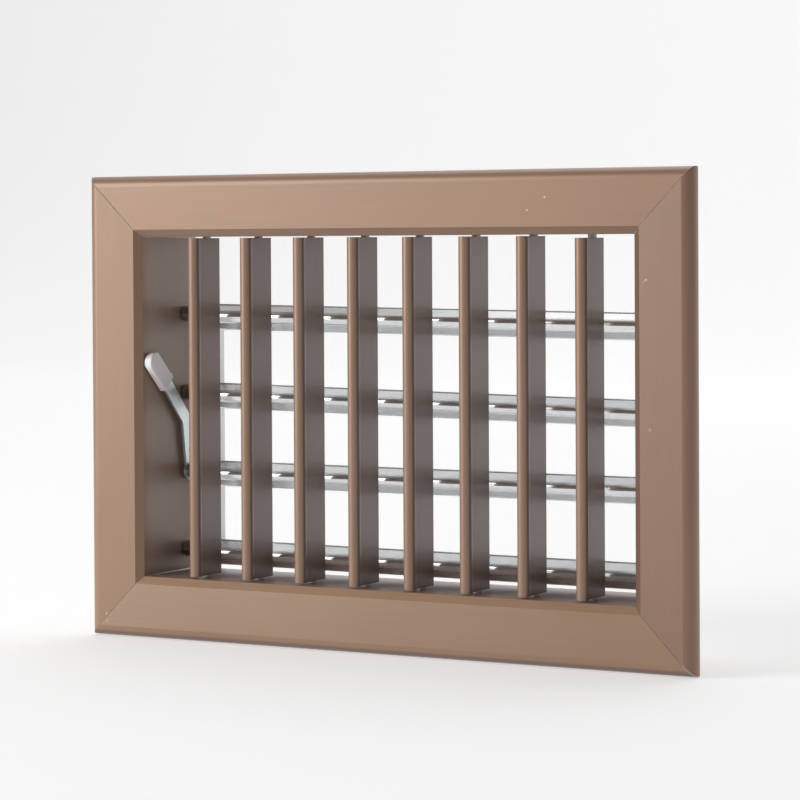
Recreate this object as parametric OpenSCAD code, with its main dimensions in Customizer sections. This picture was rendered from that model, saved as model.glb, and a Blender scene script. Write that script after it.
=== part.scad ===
// Air supply grille: a mitred face frame with a sleeve behind it, upright vanes that turn one by one,
// and a flap damper of lever-worked blades behind the vanes.
// X runs across the face, Y goes into the wall and Z is up. The origin is the centre of the plane in
// which the frame's rim meets the wall.

/* [Face frame] */
// Width over the face
face_w = 288; // [240:1:420]
// Height over the face
face_h = 200; // [190:1:300]
// Width of the flat border, from the outer edge to the bevel
border = 23.2; // [21:0.2:30]
// Depth of the rim, from the front of the face to the wall
rim_depth = 6; // [5.6:0.1:9]
// Thickness of the face and the rim
face_t = 1.5; // [1:0.1:1.8]
// Radius of the rounded outer edge
edge_r = 4.6; // [2:0.1:5]
// How much deeper the border lies at the bevel than at the outer edge
face_dish = 1.1; // [0.2:0.1:1.4]
// Width of the inner bevel
bevel_w = 3.2; // [2:0.1:5]
// Depth of the bevel's inner edge behind the front
bevel_d = 3.6; // [3:0.1:4.5]
// Open hairline at each mitre, measured along a member's edge
mitre_gap = 0.12; // [0.04:0.02:0.3]
// Degrees by which each member's mitre opens towards the rear
mitre_open = 0.4; // [0:0.05:0.8]

/* [Sleeve] */
// Length of the sleeve behind the wall plane
sleeve_len = 40; // [38:0.5:60]
// Thickness of the sleeve walls
sleeve_t = 1.4; // [1:0.1:2]

/* [Corner keys] */
// Width of a corner key's legs
key_w = 10; // [7:0.5:11]
// Thickness of a corner key
key_t = 1.2; // [0.8:0.1:1.3]
// Length of a corner key's legs, from the key's outer corner
key_leg = 32; // [24:1:40]
// Clearance round a corner key in its channel
key_gap = 0.1; // [0.05:0.05:0.2]
// Thickness of the channel's ribs
rib_t = 0.9; // [0.7:0.1:1.2]
// Width of the channel's inward toes
toe_w = 1.6; // [1:0.1:2.2]
// Distance from the outer edge to the middle of the channel
key_set = 13; // [12:0.2:14]

/* [Vanes] */
// Spacing of the vanes
vane_pitch = 26.5; // [24:0.1:27]
// Diameter of a vane's round nose
nose_d = 5.2; // [4:0.1:6.5]
// Depth of a vane, nose to tail
vane_chord = 21.5; // [19:0.5:22]
// Thickness of a vane's body just behind the nose
vane_t = 3.4; // [3:0.1:3.8]
// Thickness of a vane's tail
tail_t = 2.4; // [2.2:0.1:2.8]
// Distance from the front of a vane's nose to its turning axis
vane_pivot = 12.5; // [11.5:0.1:13]
// Depth of the noses behind the front of the face
vane_set = 4; // [3.8:0.1:6]
// Gap between the top of each vane and the sleeve, from the left vane on
vane_top_gap = [0.6, 0.6, 0.6, 0.6, 0.6, 0.6, 0.6, 1.4];
// Gap below a vane
vane_low_gap = 0.9; // [0.6:0.1:3]
// Width of the slot inside a vane that takes its pins
slot_w = 1.4; // [1:0.1:1.6]
// Length of that slot along the chord
slot_l = 9; // [6:0.5:10]

/* [Vane pins] */
// Diameter of a pin's collar
collar_d = 3.6; // [3.2:0.1:5]
// Diameter of a pin's journal in the sleeve
journal_d = 3; // [2.4:0.1:3.1]
// Depth of a pin's tongue in the vane
tongue_l = 12; // [6:1:20]
// Clearance round a tongue in its slot
tongue_gap = 0.05; // [0.02:0.01:0.1]
// Radial clearance of every turning journal
run_gap = 0.06; // [0.03:0.01:0.09]
// How far a journal stands out behind its wall
journal_out = 0.6; // [0.3:0.1:1]
// End play between a collar or hub and the wall beside it
end_play = 0.1; // [0.05:0.05:0.3]

/* [Damper blades] */
// Clearance between the vanes' tails and the blades' noses
damper_clear = 3.55; // [1.5:0.05:6]
// Distance from a blade's axis to its nose
nose_reach = 7.1; // [6.4:0.1:7.8]
// Height of a blade's axis above the nose's lower edge
axis_rise = 0.65; // [0.4:0.05:1]
// Height of the flat face at the nose
nose_face = 0.5; // [0.3:0.05:0.8]
// Radius of the brow above that face
brow_r = 1.2; // [0.8:0.05:1.6]
// Angle through which the brow turns back
brow_turn = 52; // [40:1:58]
// Radius of the shoulder behind the brow
shoulder_r = 10; // [6:0.5:11]
// Slope of a blade's top
top_slope = 24; // [20:1:28]
// Height of that top above the nose's lower edge
leaf_top = 5.35; // [4.8:0.05:5.8]
// Radius of the hollow between the top and the rib at its back
hollow_r = 1.1; // [0.8:0.1:1.4]
// Lean of that rib's front from upright
rib_lean = 30; // [20:1:40]
// Radius of the rib's crown
rib_r = 0.6; // [0.4:0.1:0.8]
// Slope of a blade's underside
under_slope = 20; // [16:1:24]
// Length of that underside, from the nose to the cove
under_len = 6.4; // [5:0.1:7]
// Radius of the cove between the underside and the lip
cove_r = 6; // [4:0.5:8]
// Slope of the lip behind the cove
lip_slope = 42; // [36:1:46]
// Depth of the lip below the nose's lower edge
leaf_low = 6.35; // [5.8:0.05:6.6]
// Radius of the lip's foot
foot_r = 2.6; // [1.6:0.1:3]
// Wall of the hollow front part
skin_t = 1.1; // [0.9:0.1:1.3]
// Thickness of a blade's web
web_t = 1.1; // [0.8:0.1:1.4]
// Diameter of the bead on a web's tip
bead_d = 1.8; // [1.5:0.1:2]
// Gap between the closed top blade's tip and the sleeve's top wall
tip_gap = 0.3; // [0.2:0.1:1]
// Distance from the lowest blade's nose edge to the sleeve's floor
sill_gap = 8.8; // [8.2:0.1:10]
// How much lower each blade's right end sits than its left end, from the top blade down
right_drop = [2.8, 3.7, 0.3, 0.7];
// Gap between a blade and the right wall
right_gap = 2.4; // [2.2:0.1:4]

/* [Cranks and link] */
// Diameter of the journals on the blades' ends
pivot_d = 4; // [3:0.1:4.4]
// Diameter of a crank's hub
hub_d = 7; // [6.6:0.1:9]
// Gap between a hub and the wall beside it
hub_gap = 0.5; // [0.2:0.1:1]
// Thickness of a crank's hub
hub_t = 4; // [3.6:0.1:5]
// Thickness of a crank's arm
arm_t = 2.4; // [2:0.1:3]
// Width of a crank's arm
arm_w = 6; // [5:0.1:6.4]
// Distance from a blade's axis to its link pin
crank_r = 16; // [15.5:0.1:18]
// Angle of a crank below its blade's web
crank_angle = 18; // [16:1:20]
// Diameter of the neck between a hub and its blade
neck_d = 6.4; // [5.8:0.1:6.8]
// Diameter of a link pin
link_pin_d = 3; // [2.6:0.1:3.2]
// Width of the link bar
link_w = 6.4; // [6:0.1:6.6]
// Thickness of the link bar
link_t = 1.2; // [1:0.1:1.6]
// Side gap between the link bar and what lies beside it
link_gap = 0.3; // [0.3:0.05:0.5]
// Radial clearance of the link bar on the pins that only follow
link_slack = 0.25; // [0.2:0.05:0.3]
// Diameter of a retaining clip
clip_d = 4.8; // [4:0.1:5]
// Thickness of a retaining clip
clip_t = 0.5; // [0.4:0.1:0.6]
// Gap between the blade's end and the link bar
leaf_gap = 0.5; // [0.4:0.1:1]
// Length of the inserts pushed into a blade's hollow front
insert_l = 12; // [8:1:20]
// Gap around an insert or a clip where it is pushed on
push_gap = 0.02; // [0.01:0.01:0.05]

/* [Lever] */
// Gap between the lever and the sleeve's left wall
lever_gap = 1.6; // [1.5:0.1:2.5]
// Thickness of the lever strip
lever_t = 1.2; // [1:0.1:1.6]
// Width of the lever strip
lever_w = 6.2; // [5:0.1:6.6]
// Diameter of the lever's eye
eye_d = 8.6; // [8.4:0.1:10]
// Height left between the lever's bend and the hub above it
bend_clear = 7.1; // [5:0.1:9]
// Forward lean of the lower arm
lower_lean = 8; // [0:1:12]
// Length of the upper arm, from the bend to the grip
upper_len = 22.2; // [16:0.2:28]
// Forward lean of the upper arm
upper_lean = 42; // [30:1:45]
// Side gap between the lever and the crank's hub
lever_play = 0.3; // [0.2:0.05:0.5]
// Width over the flats of the boss that drives the lever
drive_flat = 4.6; // [4.5:0.1:5]
// Diameter of that boss
drive_d = 6; // [5.6:0.1:6.4]
// Length of the grip
grip_len = 18; // [14:0.5:22]
// Width of the grip
grip_w = 8.8; // [8.6:0.1:11]
// Thickness of the grip
grip_t = 3.4; // [3:0.1:3.8]
// Radius of the grip's long edges
grip_edge = 0.9; // [0.5:0.1:1.1]
// Degrees by which the grip leans on from the strip
grip_turn = 4; // [0:0.5:5]
// How far the toe at the grip's lower corner stands out
toe_out = 0.9; // [0.4:0.1:1.5]
// Height of that toe
toe_h = 1.3; // [0.8:0.1:2]
// Depth of the strip's end in the grip
grip_bite = 9; // [6:0.5:11]
// Clearance between the grip and the strip inside it
grip_gap = 0.05; // [0.02:0.01:0.1]

/* [Hidden] */
$fn = 48;
vane_count = 8;
blade_count = 4;
lever_blade = 3;
cut = 1;

bodies_front = ["frame_top", "frame_bottom", "frame_left", "frame_right", "corner_keys"];

// Frame section, seen along a member: s from the outer edge inwards, y as in the model
front_y = -rim_depth;
inner_s = border + bevel_w;
bevel_slope = (bevel_d - face_dish) / bevel_w;
bevel_skin = face_t * sqrt(1 + bevel_slope * bevel_slope);
dish_slope = face_dish / (border - edge_r);
back_s = (face_dish - bevel_slope * border + bevel_skin - face_t + dish_slope * edge_r)
    / (dish_slope - bevel_slope);
function face_y(s) = front_y + dish_slope * (s - edge_r);
function bevel_y(s) = front_y + face_dish + bevel_slope * (s - border);

// Clear inside of the sleeve
in_x = face_w / 2 - inner_s;
in_z = face_h / 2 - inner_s;

// Key channel behind the border
chan_w = key_w + 2 * key_gap;
chan_in = key_set + chan_w / 2;
key_y = face_y(chan_in) + face_t + key_gap;
toe_y = key_y + key_t + key_gap;

// Vanes
nose_r = nose_d / 2;
tail_r = tail_t / 2;
vane_y = front_y + vane_set + vane_pivot;
tail_c = vane_chord - vane_pivot - tail_r;
vane_low = -in_z + vane_low_gap;
function vane_top(i) = in_z - vane_top_gap[i - 1];
function vane_x(i) = (i - (vane_count + 1) / 2) * vane_pitch;

// Damper blades
pivot_r = pivot_d / 2;
blade_pitch = (2 * in_z - sill_gap) / blade_count;
blade_y = vane_y + tail_c + tail_r + damper_clear + nose_reach;
web_reach = blade_pitch - axis_rise - tip_gap;
function blade_z(k) = in_z - k * blade_pitch + axis_rise;
function blade_tilt(k) = atan(right_drop[k - 1] / (2 * in_x));

// Outline of a blade's hollow front in y and z, walked from the nose's lower edge.
// A move is a lean back from upright and a length, a bow is a row of short moves.
bow_steps = 8;
top_lean = 90 - top_slope;
under_lean = 90 - under_slope;
lip_lean = 90 - lip_slope;
top_len = (leaf_top - nose_face - brow_r * sin(brow_turn) - shoulder_r * (sin(top_lean) - sin(brow_turn))
    - hollow_r * (sin(top_lean) - sin(rib_lean)) - rib_r * (1 - sin(rib_lean))) / cos(top_lean);
lip_len = (leaf_low - under_len * cos(under_lean) - cove_r * (sin(under_lean) - sin(lip_lean))
    - foot_r * (1 - sin(lip_lean))) / cos(lip_lean);
function bow(from, to, r) = [
    for (i = [0:bow_steps - 1])
        [from + (to - from) * (i + 0.5) / bow_steps, r * abs(to - from) * PI / 180 / bow_steps]
];
function walk(p, moves, rise, i = 0) = i == len(moves) ? [p] : concat(
    [p],
    walk(p + moves[i][1] * [sin(moves[i][0]), rise * cos(moves[i][0])], moves, rise, i + 1)
);
nose = [-nose_reach, -axis_rise];
upper_side = walk(nose, concat(
    [[0, nose_face]],
    bow(0, brow_turn, brow_r),
    bow(brow_turn, top_lean, shoulder_r),
    [[top_lean, top_len]],
    bow(top_lean, rib_lean, hollow_r),
    bow(rib_lean, 180, rib_r)
), 1);
lower_side = walk(nose, concat(
    [[under_lean, under_len]],
    bow(under_lean, lip_lean, cove_r),
    [[lip_lean, lip_len]],
    bow(lip_lean, 180, foot_r)
), -1);

// Stations along a blade, measured from the left wall
lever_x = lever_gap;
hub_x = lever_x + lever_t + lever_play;
arm_x = hub_x + hub_t - arm_t;
bar_x = hub_x + hub_t + link_gap;
clip_x = bar_x + link_t + link_gap / 2;
leaf_x = bar_x + link_t + leaf_gap;
leaf_end = 2 * in_x - right_gap;
flange_t = right_gap - journal_out - end_play - run_gap;
pin_y = crank_r * cos(crank_angle);
pin_z = -crank_r * sin(crank_angle);
pin_mid = bar_x + link_t / 2;
function link_z(k) = blade_z(k) + pin_z - pin_mid * sin(blade_tilt(k));

// Lever, seen from the side in y and z from its blade's axis
mean_lean = (lower_lean + upper_lean) / 2;
corner_r = lever_w / 2 / cos((upper_lean - lower_lean) / 2);
lower_len = (blade_pitch - hub_d / 2 - bend_clear - corner_r * sin(mean_lean)) / cos(lower_lean);
bend = lower_len * [-sin(lower_lean), cos(lower_lean)];
grip_mid = lever_x + lever_t / 2;
function side(lean, dist) = dist * [cos(lean), sin(lean)];
function up(lean, dist) = dist * [-sin(lean), cos(lean)];

module frame_section() {
    translate([edge_r, front_y + edge_r])
        intersection() {
            difference() {
                circle(edge_r);
                circle(edge_r - face_t);
            }
            translate([-edge_r, -edge_r]) square(edge_r);
        }
    translate([0, front_y + edge_r]) square([face_t, rim_depth - edge_r]);
    polygon([
        [edge_r, front_y],
        [border, front_y + face_dish],
        [inner_s, front_y + bevel_d],
        [inner_s, sleeve_len],
        [inner_s - sleeve_t, sleeve_len],
        [inner_s - sleeve_t, bevel_y(inner_s - sleeve_t) + bevel_skin],
        [back_s, face_y(back_s) + face_t],
        [edge_r, front_y + face_t]
    ]);
    for (side = [-1, 1])
        translate([key_set + side * (chan_w + rib_t) / 2, 0]) channel_rib(side);
}

// One rib of the key channel with its toe, which points to the middle of the channel
module channel_rib(side) {
    root_y = face_y(key_set + side * (chan_w + rib_t) / 2) + face_t / 2;
    translate([-rib_t / 2, root_y]) square([rib_t, toe_y + rib_t - root_y]);
    translate([side > 0 ? rib_t / 2 - toe_w - rib_t : -rib_t / 2, toe_y]) square([toe_w + rib_t, rib_t]);
}

// A member of the frame along X, its outer edge at z = 0 and both ends mitred
module member(len) {
    intersection() {
        translate([-len / 2, 0, 0]) rotate([0, 90, 0]) linear_extrude(len) frame_section();
        mitre_side(len);
        mirror([1, 0, 0]) mitre_side(len);
    }
}

// Everything on the inner side of a member's left mitre
module mitre_side(len) {
    translate([-len / 2 + mitre_gap, front_y, 0])
        rotate([0, 45, 0]) rotate([mitre_open, 0, 0])
            translate([-len, -len, 0]) cube(2 * len);
}

module vane_holes(z) {
    for (i = [1:vane_count])
        translate([vane_x(i), vane_y, z - sleeve_t - cut])
            cylinder(r = journal_d / 2 + run_gap, h = 2 * (sleeve_t + cut));
}

module frame_top() {
    color("#a07c68") difference() {
        translate([0, 0, face_h / 2]) member(face_w);
        vane_holes(in_z);
    }
}

module frame_bottom() {
    color("#a07c68") difference() {
        translate([0, 0, -face_h / 2]) rotate([0, 180, 0]) member(face_w);
        vane_holes(-in_z);
    }
}

module pivot_hole(x, z) {
    translate([x - sleeve_t - cut, blade_y, z]) rotate([0, 90, 0])
        cylinder(r = pivot_r + run_gap, h = 2 * (sleeve_t + cut));
}

module frame_left() {
    color("#a07c68") difference() {
        translate([-face_w / 2, 0, 0]) rotate([0, -90, 0]) member(face_h);
        for (k = [1:blade_count]) pivot_hole(-in_x, blade_z(k));
    }
}

module frame_right() {
    color("#a07c68") difference() {
        translate([face_w / 2, 0, 0]) rotate([0, 90, 0]) member(face_h);
        for (k = [1:blade_count]) pivot_hole(in_x, blade_z(k) - right_drop[k - 1]);
    }
}

// L-shaped plates that lie in the channel and join the members
module corner_keys() {
    corner = key_set - key_w / 2;
    color("silver")
        for (sx = [-1, 1], sz = [-1, 1])
            translate([sx * (face_w / 2 - corner), key_y + key_t, sz * (face_h / 2 - corner)])
                rotate([90, 0, 0]) linear_extrude(key_t)
                    union() {
                        translate([sx > 0 ? -key_leg : 0, sz > 0 ? -key_w : 0]) square([key_leg, key_w]);
                        translate([sx > 0 ? -key_w : 0, sz > 0 ? -key_leg : 0]) square([key_w, key_leg]);
                    }
}

module vane_section() {
    nose_y = nose_r - vane_pivot;
    difference() {
        union() {
            translate([0, nose_y]) circle(nose_r);
            translate([0, tail_c]) circle(tail_r);
            polygon([
                [-vane_t / 2, nose_y],
                [vane_t / 2, nose_y],
                [tail_r, tail_c],
                [-tail_r, tail_c]
            ]);
        }
        translate([-slot_w / 2, -slot_l / 2]) square([slot_w, slot_l]);
    }
}

module vane(i) {
    color("#8a6a58")
        translate([vane_x(i), vane_y, vane_low]) linear_extrude(vane_top(i) - vane_low) vane_section();
}

// One end pin: a tongue in the vane, a collar in the gap and a journal in the sleeve, built upwards
module vane_pin(gap) {
    tongue = slot_w - 2 * tongue_gap;
    translate([-tongue / 2, -slot_l / 2 + tongue_gap, -tongue_l])
        cube([tongue, slot_l - 2 * tongue_gap, tongue_l]);
    cylinder(d = collar_d, h = gap - end_play);
    cylinder(d = journal_d, h = gap + sleeve_t + journal_out);
}

module vane_pins(i) {
    color("#d9d8d2") {
        translate([vane_x(i), vane_y, vane_top(i)]) vane_pin(vane_top_gap[i - 1]);
        translate([vane_x(i), vane_y, vane_low]) mirror([0, 0, 1]) vane_pin(vane_low_gap);
    }
}

// Places a blade's parts: X along the blade from the left wall, the axis at y = z = 0
module on_blade(k) {
    translate([-in_x, blade_y, blade_z(k)]) rotate([0, blade_tilt(k), 0]) children();
}

// Turns a section drawn in y and z so that it runs along X
module along_x(from, to) {
    translate([from, 0, 0]) rotate([90, 0, 90]) linear_extrude(to - from) children();
}

// Hollow front of a blade, set in by a gap all round
module leaf(gap = 0) {
    offset(delta = -gap)
        polygon(concat(upper_side, [for (i = [len(lower_side) - 1:-1:1]) lower_side[i]]));
}

module blade_section() {
    difference() {
        union() {
            leaf();
            translate([0, -web_t / 2]) square([web_reach - bead_d / 2, web_t]);
            translate([web_reach - bead_d / 2, 0]) circle(d = bead_d);
        }
        leaf(skin_t);
    }
}

module damper_blade(k) {
    color("#c9ccd0") on_blade(k) along_x(leaf_x, leaf_end) blade_section();
}

// Left end of a blade: journal, hub, crank arm with its link pin, neck and insert
module damper_crank(k) {
    color("#a9adb0") on_blade(k) {
        along_x(-sleeve_t - journal_out, hub_x) circle(pivot_r);
        along_x(k == lever_blade ? hub_x : hub_gap, hub_x + hub_t) circle(d = hub_d);
        along_x(arm_x, arm_x + arm_t) {
            translate([pin_y, pin_z]) circle(d = arm_w);
            rotate(-crank_angle) translate([0, -arm_w / 2]) square([crank_r, arm_w]);
        }
        along_x(hub_x + hub_t, clip_x + clip_t + link_gap / 2)
            translate([pin_y, pin_z]) circle(d = link_pin_d);
        along_x(hub_x + hub_t, leaf_x) circle(d = neck_d);
        along_x(leaf_x, leaf_x + insert_l) leaf(skin_t + push_gap);
        if (k == lever_blade)
            along_x(lever_x, hub_x) drive_boss(0);
    }
}

// Boss with two flats that turns the lever
module drive_boss(gap) {
    intersection() {
        circle(d = drive_d + 2 * gap);
        square([drive_d + 2 * gap + cut, drive_flat + 2 * gap], center = true);
    }
}

// Right end of a blade: insert, flange and journal
module damper_plug(k) {
    color("#a9adb0") on_blade(k) {
        along_x(leaf_end - insert_l, leaf_end) leaf(skin_t + push_gap);
        along_x(leaf_end, leaf_end + flange_t) leaf(push_gap);
        along_x(leaf_end, 2 * in_x + sleeve_t + journal_out) circle(pivot_r);
    }
}

module link_clip(k) {
    color("#9a9da0") on_blade(k)
        along_x(clip_x, clip_x + clip_t)
            translate([pin_y, pin_z])
                difference() {
                    circle(d = clip_d);
                    circle(link_pin_d / 2 + push_gap);
                }
}

// Flat bar that keeps the blades in step, hung on the link pins
module link_bar() {
    color("#b9bec0")
        translate([-in_x, blade_y + pin_y, 0])
            along_x(bar_x, bar_x + link_t)
                difference() {
                    union() {
                        translate([-link_w / 2, link_z(blade_count)])
                            square([link_w, link_z(1) - link_z(blade_count)]);
                        translate([0, link_z(1)]) circle(d = link_w);
                        translate([0, link_z(blade_count)]) circle(d = link_w);
                    }
                    for (k = [1:blade_count])
                        translate([0, link_z(k)])
                            circle(link_pin_d / 2 + (k == lever_blade ? run_gap : link_slack));
                }
}

// Outline of the lever strip in y and z, from the eye on its blade's axis to the end in the grip
module lever_outline() {
    tip = bend + up(upper_lean, upper_len + grip_bite);
    circle(d = eye_d);
    polygon([
        side(lower_lean, lever_w / 2),
        bend + side(mean_lean, corner_r),
        tip + side(upper_lean, lever_w / 2),
        tip - side(upper_lean, lever_w / 2),
        bend - side(mean_lean, corner_r),
        -side(lower_lean, lever_w / 2)
    ]);
}

module lever() {
    color("#b4bcbe") on_blade(lever_blade)
        along_x(lever_x, lever_x + lever_t)
            difference() {
                lever_outline();
                drive_boss(tongue_gap);
            }
}

// Places a child drawn along the grip: Y across it, Z up along it from its lower edge
module on_grip() {
    foot = bend + up(upper_lean, upper_len);
    translate([grip_mid, foot[0], foot[1]]) rotate([upper_lean + grip_turn, 0, 0]) children();
}

// Bar with rounded long edges, rounded off at its top, with a toe at its lower corner
module grip_body() {
    straight = grip_len - grip_w / 2;
    on_grip() {
        intersection() {
            linear_extrude(grip_len)
                offset(r = grip_edge)
                    square([grip_t - 2 * grip_edge, grip_w - 2 * grip_edge], center = true);
            along_x(-grip_t / 2, grip_t / 2) {
                translate([0, straight]) circle(d = grip_w);
                translate([-grip_w / 2, 0]) square([grip_w, straight]);
            }
        }
        translate([-grip_t / 2 + grip_edge, 0, 0])
            cube([grip_t - 2 * grip_edge, grip_w / 2 + toe_out, toe_h]);
    }
}

// Moulded cap on the top of the lever, closed over the strip's end
module lever_grip() {
    color("#c4c6c4") on_blade(lever_blade)
        difference() {
            grip_body();
            along_x(lever_x - grip_gap, lever_x + lever_t + grip_gap)
                translate(bend) rotate(upper_lean)
                    translate([-lever_w / 2 - grip_gap, 0])
                        square([lever_w + 2 * grip_gap, upper_len + grip_bite + grip_gap]);
        }
}

frame_top();
frame_bottom();
frame_left();
frame_right();
corner_keys();
for (i = [1:vane_count]) {
    vane(i);
    vane_pins(i);
}
for (k = [1:blade_count]) {
    damper_blade(k);
    damper_crank(k);
    damper_plug(k);
    link_clip(k);
}
link_bar();
lever();
lever_grip();
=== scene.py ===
import math

import bpy
from mathutils import Matrix, Vector

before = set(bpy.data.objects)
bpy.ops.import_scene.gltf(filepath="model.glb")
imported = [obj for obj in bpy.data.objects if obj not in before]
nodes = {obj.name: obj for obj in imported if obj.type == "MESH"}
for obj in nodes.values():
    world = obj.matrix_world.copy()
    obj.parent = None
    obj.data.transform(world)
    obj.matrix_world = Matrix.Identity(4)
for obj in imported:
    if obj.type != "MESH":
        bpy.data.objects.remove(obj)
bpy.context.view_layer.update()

# Half sizes in metres: the whole face, the inner edge of its border, and the inside of the sleeve
OUT_X, OUT_Z = 0.144, 0.1
FACE_X, FACE_Z = 0.1208, 0.0768
IN_X, IN_Z = 0.1176, 0.0736
# Depths between which the face's colour passes into the sleeve's: painted shade on its walls, painted light
# on its floor
DEEP_FROM, DEEP_TO = -0.003, 0.004
# Width of the painted transition on a rim, and of the bare metal on a sawn edge
RIM_FADE, SAWN_W = 0.002, 0.0003
# Margin that keeps a mask clear of the next face
HAIR = 0.00005
# Where the lower right mitre starts to be worn, and its full wear
WORN_FROM, WORN_TO = 0.1385, 0.1405

# The photograph, in pixels: its size, the lens and the row of the lens axis
PHOTO, FOCAL, AXIS_ROW = 800, 2996.1, 289.6
SENSOR = 36.0
CAM_AT = (0.62513, -1.07288, 0.07069)
CAM_TURNS = (29.845, 0.902, -0.303)

# The sweep: floor height, where it starts to curve up, radius of the curve, top, half width and front
FLOOR_Z, CURVE_Y, CURVE_R, SWEEP_TOP, SWEEP_HALF, SWEEP_FRONT = -0.1003, 2.0, 1.2, 4.0, 6.0, -6.0


class Mat:
    """A node material with short calls for the nodes used below."""

    def __init__(self, name):
        self.mat = bpy.data.materials.new(name)
        self.mat.use_nodes = True
        self.tree = self.mat.node_tree
        self.bsdf = self.tree.nodes["Principled BSDF"]

    def node(self, kind, **props):
        n = self.tree.nodes.new(kind)
        for key, value in props.items():
            setattr(n, key, value)
        return n

    def link(self, out, socket):
        self.tree.links.new(out, socket)

    def put(self, socket, value):
        if isinstance(value, bpy.types.NodeSocket):
            self.link(value, socket)
        else:
            socket.default_value = value

    def math(self, op, a, b=0.0, clamp=False):
        n = self.node("ShaderNodeMath", operation=op, use_clamp=clamp)
        self.put(n.inputs[0], a)
        self.put(n.inputs[1], b)
        return n.outputs[0]

    def coords(self, scale=(1, 1, 1)):
        tex = self.node("ShaderNodeTexCoord")
        mp = self.node("ShaderNodeMapping")
        mp.inputs["Scale"].default_value = scale
        self.link(tex.outputs["Object"], mp.inputs["Vector"])
        return mp.outputs[0]

    def split(self, output, absolute=False):
        """X, Y and Z of the object's own coordinates or normal."""
        tex = self.node("ShaderNodeTexCoord")
        sep = self.node("ShaderNodeSeparateXYZ")
        self.link(tex.outputs[output], sep.inputs[0])
        if absolute:
            return [self.math("ABSOLUTE", sep.outputs[i]) for i in range(3)]
        return [sep.outputs[i] for i in range(3)]

    def noise(self, vec, scale, detail=3.0, rough=0.5):
        n = self.node("ShaderNodeTexNoise")
        self.link(vec, n.inputs["Vector"])
        n.inputs["Scale"].default_value = scale
        n.inputs["Detail"].default_value = detail
        n.inputs["Roughness"].default_value = rough
        return n.outputs["Fac"]

    def remap(self, value, a, b, c, d, smooth=False):
        n = self.node("ShaderNodeMapRange")
        if smooth:
            n.interpolation_type = "SMOOTHSTEP"
        self.put(n.inputs["Value"], value)
        for name, v in (("From Min", a), ("From Max", b), ("To Min", c), ("To Max", d)):
            n.inputs[name].default_value = v
        return n.outputs[0]

    def mix(self, fac, a, b, blend="MIX"):
        n = self.node("ShaderNodeMix", data_type="RGBA", blend_type=blend)
        self.put(n.inputs["Factor"], fac)
        self.put(n.inputs[6], a if isinstance(a, bpy.types.NodeSocket) else (*a, 1))
        self.put(n.inputs[7], b if isinstance(b, bpy.types.NodeSocket) else (*b, 1))
        return n.outputs[2]

    def grey(self, value):
        n = self.node("ShaderNodeCombineColor")
        for i in range(3):
            self.link(value, n.inputs[i])
        return n.outputs[0]

    def tone(self, col, value):
        return self.mix(1.0, col, self.grey(value), "MULTIPLY")

    def bump(self, height, distance, strength=1.0, normal=None):
        n = self.node("ShaderNodeBump")
        n.inputs["Strength"].default_value = strength
        n.inputs["Distance"].default_value = distance
        self.link(height, n.inputs["Height"])
        if normal is not None:
            self.link(normal, n.inputs["Normal"])
        return n.outputs[0]

    def soft_edge(self, radius, samples=6):
        n = self.node("ShaderNodeBevel", samples=samples)
        n.inputs["Radius"].default_value = radius
        return n.outputs[0]

    def edges(self, soft):
        """1 on the piece's edges, 0 on its faces: where the softened normal leaves the true one."""
        geo = self.node("ShaderNodeNewGeometry")
        n = self.node("ShaderNodeVectorMath", operation="DOT_PRODUCT")
        self.link(soft, n.inputs[0])
        self.link(geo.outputs["Normal"], n.inputs[1])
        return self.remap(n.outputs["Value"], 0.99, 0.9, 0.0, 1.0)

    def spots(self, places, radius):
        """Small uneven marks at the given places, whose depth doesn't count."""
        warp = self.remap(self.noise(self.coords(), 1500.0, 1.0), 0.3, 0.7, -radius * 0.25, radius * 0.25)
        flat = self.coords((1, 0, 1))
        whole = None
        for at in places:
            n = self.node("ShaderNodeVectorMath", operation="DISTANCE")
            self.link(flat, n.inputs[0])
            n.inputs[1].default_value = (at[0], 0, at[1])
            d = self.math("ADD", n.outputs["Value"], warp)
            one = self.remap(d, radius * 0.5, radius, 1.0, 0.0, True)
            whole = one if whole is None else self.math("MAXIMUM", whole, one)
        return whole

    def set(self, **sockets):
        for name, value in sockets.items():
            self.put(self.bsdf.inputs[name.replace("_", " ")], value)


def give(mat, *names):
    for n in names:
        for slot in nodes[n].material_slots:
            slot.material = mat.mat


def anodised(m, along, col, rough, coat):
    """Satin brown anodised extrusion, its draw lines running along one axis."""
    long_scale = tuple(0.02 if i == along else 1.0 for i in range(3))
    lines = m.noise(m.coords(long_scale), 1400.0, 2.0, 0.55)
    cloud = m.noise(m.coords(), 14.0, 3.0, 0.6)
    grain = m.noise(m.coords(), 2600.0, 2.0, 0.6)
    shade = m.math("ADD", m.remap(lines, 0.3, 0.7, 0.97, 1.03), m.remap(cloud, 0.3, 0.7, -0.03, 0.03))
    col = m.tone(col, shade)
    m.set(Metallic=0.15, Roughness=m.remap(grain, 0.3, 0.7, rough - 0.04, rough + 0.04))
    soft = m.soft_edge(0.0003)
    m.set(Normal=m.bump(grain, 0.00002, 0.35, soft))
    m.set(Coat_Weight=coat, Coat_Roughness=0.25)
    # Edges lightened: partly wear, partly a painted highlight
    return m.mix(m.math("MULTIPLY", m.edges(soft), 0.15), col, EDGE_WEAR_AND_SHEEN)


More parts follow.
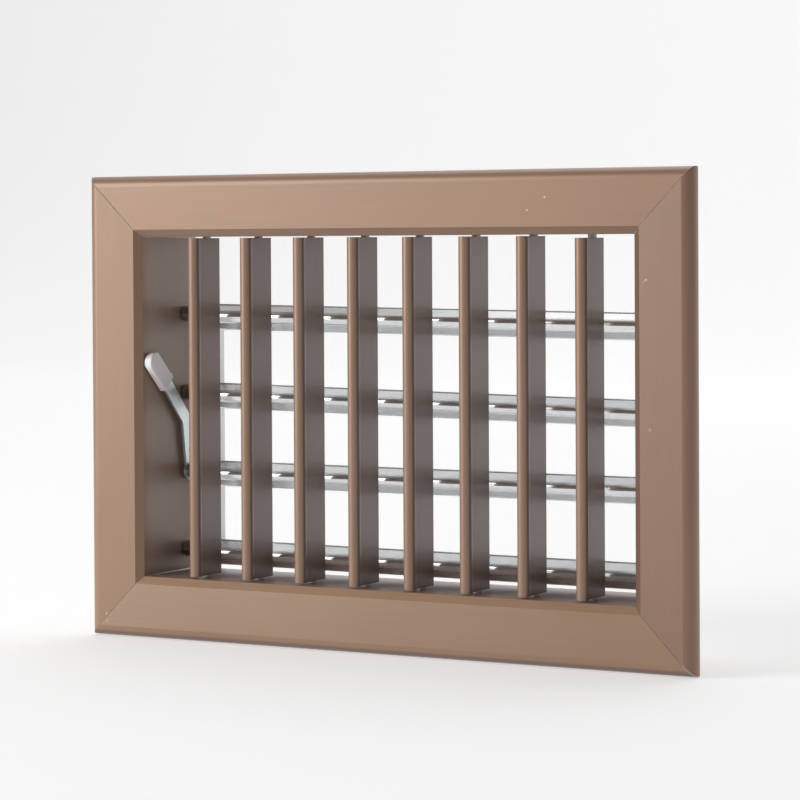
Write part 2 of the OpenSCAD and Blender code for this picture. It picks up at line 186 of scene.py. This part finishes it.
def frame_bronze(name, along, base, bevel_shading, wall, painted_rim=None):
    m = Mat(name)
    x, y, z = m.split("Object")
    ax, az = m.math("ABSOLUTE", x), m.math("ABSOLUTE", z)
    inside = m.math("MULTIPLY", m.math("LESS_THAN", ax, FACE_X - HAIR),
                    m.math("LESS_THAN", az, FACE_Z - HAIR))
    # Inside the sleeve the colour changes: walls darker and greyer as painted shade with a painted grey
    # reflection, the floor lighter as painted light
    sleeve_shading = m.remap(y, DEEP_FROM, DEEP_TO, 0.0, 1.0, True)
    # The bevel is the face's colour scaled by how the bevel faces: painted shade, and painted light on the
    # bottom member's
    col = m.mix(inside, base, tuple(v * bevel_shading for v in base))
    col = m.mix(sleeve_shading, col, wall)
    # A band along the edge: a painted highlight along the top member's, a painted shadow along the bottom
    # member's
    if painted_rim:
        start, shade = painted_rim
        col = m.mix(m.remap(az, start, start + RIM_FADE, 0.0, 1.0, True), col, shade)
    col = anodised(m, along, col, 0.4, 0.4)
    # Bare metal on the sawn edges inside the sleeve's corners
    corner = m.math("MULTIPLY", m.math("GREATER_THAN", ax, IN_X - SAWN_W),
                    m.math("GREATER_THAN", az, IN_Z - SAWN_W))
    sawn = m.math("MULTIPLY", corner, m.math("GREATER_THAN", y, 0.0))
    sawn = m.math("MULTIPLY", sawn, m.remap(m.noise(m.coords(), 160.0), 0.35, 0.5, 0.35, 1.0))
    # The mitres' own cut faces are bare too
    nx, ny, nz = m.split("Normal", True)
    sawn = m.math("MAXIMUM", sawn, m.math("GREATER_THAN", m.math("MINIMUM", nx, nz), 0.5))
    col = m.mix(sawn, col, BARE)
    marks = m.math("MAXIMUM", m.math("MULTIPLY", m.spots(CHIPS, 0.0005), 0.7),
                   m.math("MULTIPLY", m.spots(SCUFFS, 0.0009), 0.18))
    # Wear where the lower right corner has rubbed along its mitre
    off = m.math("ABSOLUTE", m.math("SUBTRACT", m.math("SUBTRACT", OUT_X, x), m.math("ADD", OUT_Z, z)))
    worn = m.math("MULTIPLY", m.remap(off, 0.0001, 0.0007, 1.0, 0.0, True),
                  m.remap(x, WORN_FROM, WORN_TO, 0.0, 0.6))
    marks = m.math("MAXIMUM", marks, m.math("MULTIPLY", worn, m.math("LESS_THAN", z, 0.0)))
    m.set(Base_Color=m.mix(marks, col, SCRAPED))
    return m


def vane_bronze(name):
    m = Mat(name)
    nx, ny, nz = m.split("Normal", True)
    # The flanks are painted darker and greyer than the nose: painted shade with a painted grey reflection
    shaded_side = m.remap(nx, 0.75, 0.97, 0.0, 1.0, True)
    m.set(Base_Color=anodised(m, 2, m.mix(shaded_side, NOSE, SHADED_FLANK), 0.38, 0.4))
    return m


def aluminium(name):
    """Bright extruded aluminium, drawn along X, so that its reflections spread across the lines."""
    m = Mat(name)
    lines = m.noise(m.coords((0.01, 1, 1)), 1800.0, 2.0, 0.6)
    cloud = m.noise(m.coords((0.3, 1, 1)), 30.0, 2.0, 0.5)
    col = m.mix(m.remap(cloud, 0.3, 0.7, 0.0, 1.0), (0.93, 0.945, 0.955), (0.90, 0.915, 0.925))
    m.set(Base_Color=col, Metallic=0.72, Roughness=m.remap(lines, 0.3, 0.7, 0.14, 0.18), Anisotropic=0.85)
    tangent = m.node("ShaderNodeTangent", direction_type="RADIAL", axis="X")
    m.link(tangent.outputs[0], m.bsdf.inputs["Tangent"])
    m.set(Normal=m.bump(lines, 0.000005, 0.1))
    return m


def plastic(name, col, rough):
    m = Mat(name)
    grain = m.noise(m.coords(), 1800.0, 2.0, 0.6)
    cloud = m.noise(m.coords(), 60.0, 2.0, 0.5)
    soft = m.soft_edge(0.0006)
    col = m.tone(col, m.remap(cloud, 0.3, 0.7, 0.94, 1.04))
    # Edges painted lighter: a painted highlight
    m.set(Base_Color=m.mix(m.math("MULTIPLY", m.edges(soft), 0.3), col, (0.9, 0.9, 0.88)), Metallic=0.0,
          Roughness=m.remap(grain, 0.3, 0.7, rough - 0.05, rough + 0.05))
    m.set(Normal=m.bump(grain, 0.00002, 0.3, soft))
    return m


def zinc(name, col, rough, metal):
    """Zinc plated or cast metal: cloudy, with finer grain, and edges painted brighter as a painted
    highlight.
    """
    m = Mat(name)
    cloud = m.noise(m.coords(), 90.0, 4.0, 0.65)
    grain = m.noise(m.coords(), 2200.0, 2.0, 0.6)
    soft = m.soft_edge(0.0002)
    col = m.tone(col, m.remap(cloud, 0.3, 0.7, 0.93, 1.04))
    # Edges painted lighter: a painted highlight
    m.set(Base_Color=m.mix(m.math("MULTIPLY", m.edges(soft), 0.3), col, (0.95, 0.96, 0.96)), Metallic=metal,
          Roughness=m.remap(cloud, 0.3, 0.7, rough - 0.06, rough + 0.08))
    m.set(Normal=m.bump(grain, 0.00002, 0.25, soft))
    return m


# Colours: edges lightened, partly as wear and partly as a painted highlight; bare and scraped metal; the
# sleeve's walls painted in shade and its floor painted in light; a vane's nose and its flanks painted in
# shade
EDGE_WEAR_AND_SHEEN = (0.62, 0.50, 0.42)
BARE = (0.8, 0.78, 0.75)
SCRAPED = (0.78, 0.72, 0.64)
SLEEVE_SHADED = (0.30, 0.207, 0.162)
SILL_LIT = (0.43, 0.30, 0.26)
NOSE = (0.352, 0.216, 0.143)
SHADED_FLANK = (0.198, 0.135, 0.111)
# Small marks on the face in x and z, as they lie in the photograph
CHIPS = [(0.0795, 0.0885), (0.0713, 0.0834), (0.1238, 0.0554), (-0.1355, -0.0904)]
SCUFFS = [(0.1252, -0.0034), (-0.1353, -0.0938), (0.1228, 0.0548)]

# Each member: its face's colour, the right member's darker as painted shade; how far the bevel departs from
# it, by how the bevel faces, as painted light and shade; its sleeve wall; and its painted rim, a painted
# highlight on the top and a painted shadow on the bottom
give(frame_bronze("bronze_top", 0, (0.37, 0.219, 0.138), 0.64, SLEEVE_SHADED, (0.0976, (0.52, 0.35, 0.27))),
     "frame_top")
give(frame_bronze("bronze_bottom", 0, (0.348, 0.208, 0.128), 1.4, SILL_LIT, (0.0968, (0.15, 0.09, 0.065))),
     "frame_bottom")
give(frame_bronze("bronze_left", 2, (0.37, 0.222, 0.137), 0.74, SLEEVE_SHADED), "frame_left")
give(frame_bronze("bronze_right", 2, (0.295, 0.17, 0.11), 0.79, SLEEVE_SHADED), "frame_right")
give(vane_bronze("bronze_vane"), *[f"vane_{i}" for i in range(1, 9)])
give(plastic("nylon", (0.72, 0.71, 0.66), 0.42), *[f"vane_pins_{i}" for i in range(1, 9)])
give(aluminium("aluminium_drawn"), *[f"damper_blade_{k}" for k in range(1, 5)])
give(zinc("zinc_cast", (0.50, 0.46, 0.44), 0.22, 1.0),
     *[f"damper_crank_{k}" for k in range(1, 5)], *[f"damper_plug_{k}" for k in range(1, 5)])
give(zinc("zinc_lever", (0.75, 0.81, 0.82), 0.34, 0.9), "lever")
give(zinc("zinc_link", (0.98, 0.99, 0.99), 0.42, 0.3), "link_bar")
give(zinc("steel_clip", (0.5, 0.5, 0.5), 0.3, 0.8), *[f"link_clip_{k}" for k in range(1, 5)])
give(zinc("key_metal", (0.6, 0.6, 0.6), 0.4, 0.6), "corner_keys")
give(plastic("grip_plastic", (0.93, 0.91, 0.91), 0.32), "lever_grip")


def sweep(glow):
    """One pale sheet: flat under the object, curving up behind it."""
    steps = 24
    prof = [(SWEEP_FRONT, FLOOR_Z), (CURVE_Y, FLOOR_Z)]
    for i in range(1, steps + 1):
        a = math.pi / 2 * i / steps
        prof.append((CURVE_Y + CURVE_R * math.sin(a), FLOOR_Z + CURVE_R - CURVE_R * math.cos(a)))
    prof.append((CURVE_Y + CURVE_R, SWEEP_TOP))
    verts = [(x, y, z) for (y, z) in prof for x in (-SWEEP_HALF, SWEEP_HALF)]
    faces = [(2 * i, 2 * i + 1, 2 * i + 3, 2 * i + 2) for i in range(len(prof) - 1)]
    me = bpy.data.meshes.new("sweep")
    me.from_pydata(verts, [], faces)
    me.update()
    for p in me.polygons:
        p.use_smooth = True
    ob = bpy.data.objects.new("sweep", me)
    bpy.context.scene.collection.objects.link(ob)
    m = Mat("sweep_white")
    m.set(Base_Color=(0.80, 0.80, 0.80, 1), Roughness=0.9, Specular_IOR_Level=0.1)
    m.set(Emission_Color=(1, 1, 1, 1), Emission_Strength=glow)
    me.materials.append(m.mat)


def studio(light, seen):
    """A pale world: its light on the object is weaker than what the camera sees of it."""
    bpy.context.scene.view_settings.view_transform = "Standard"
    world = bpy.data.worlds.new("studio")
    bpy.context.scene.world = world
    world.use_nodes = True
    tree = world.node_tree
    bg = tree.nodes["Background"]
    bg.inputs["Color"].default_value = (1.0, 1.0, 1.0, 1)
    path = tree.nodes.new("ShaderNodeLightPath")
    lift = tree.nodes.new("ShaderNodeMapRange")
    lift.inputs["To Min"].default_value = light
    lift.inputs["To Max"].default_value = seen
    tree.links.new(path.outputs["Is Camera Ray"], lift.inputs["Value"])
    tree.links.new(lift.outputs[0], bg.inputs["Strength"])


def area(name, loc, aim, size, power):
    d = bpy.data.lights.new(name, "AREA")
    d.shape = "RECTANGLE"
    d.size, d.size_y = size
    d.energy = power
    ob = bpy.data.objects.new(name, d)
    bpy.context.scene.collection.objects.link(ob)
    ob.location = loc
    ob.rotation_euler = (Vector(aim) - Vector(loc)).to_track_quat("-Z", "Y").to_euler()


sweep(0.472)
studio(0.12, 0.9)
area("key", (-1.3, -1.3, 0.585), (0, 0, 0), (1.04, 1.3), 21.6)
area("over", (-0.4, 1.5, 3.0), (-0.4, 1.5, 0), (3.2, 2.8), 29)

# The camera, as fitted to the photograph: its turns, lens, place and shift
yaw, pitch, roll = (math.radians(v) for v in CAM_TURNS)
fwd = Vector((-math.sin(yaw) * math.cos(pitch), math.cos(yaw) * math.cos(pitch), -math.sin(pitch)))
right = Vector((math.cos(yaw), math.sin(yaw), 0))
up = right.cross(fwd)
r2 = math.cos(roll) * right + math.sin(roll) * up
u2 = -math.sin(roll) * right + math.cos(roll) * up
cam_data = bpy.data.cameras.new("camera")
cam_data.sensor_width = SENSOR
cam_data.lens = FOCAL / PHOTO * SENSOR
cam_data.shift_y = -(PHOTO / 2 - AXIS_ROW) / PHOTO
cam_data.clip_start = 0.01
cam = bpy.data.objects.new("camera", cam_data)
bpy.context.scene.collection.objects.link(cam)
rot = Matrix((r2, u2, -fwd)).transposed().to_4x4()
cam.matrix_world = Matrix.Translation(CAM_AT) @ rot
bpy.context.scene.camera = cam
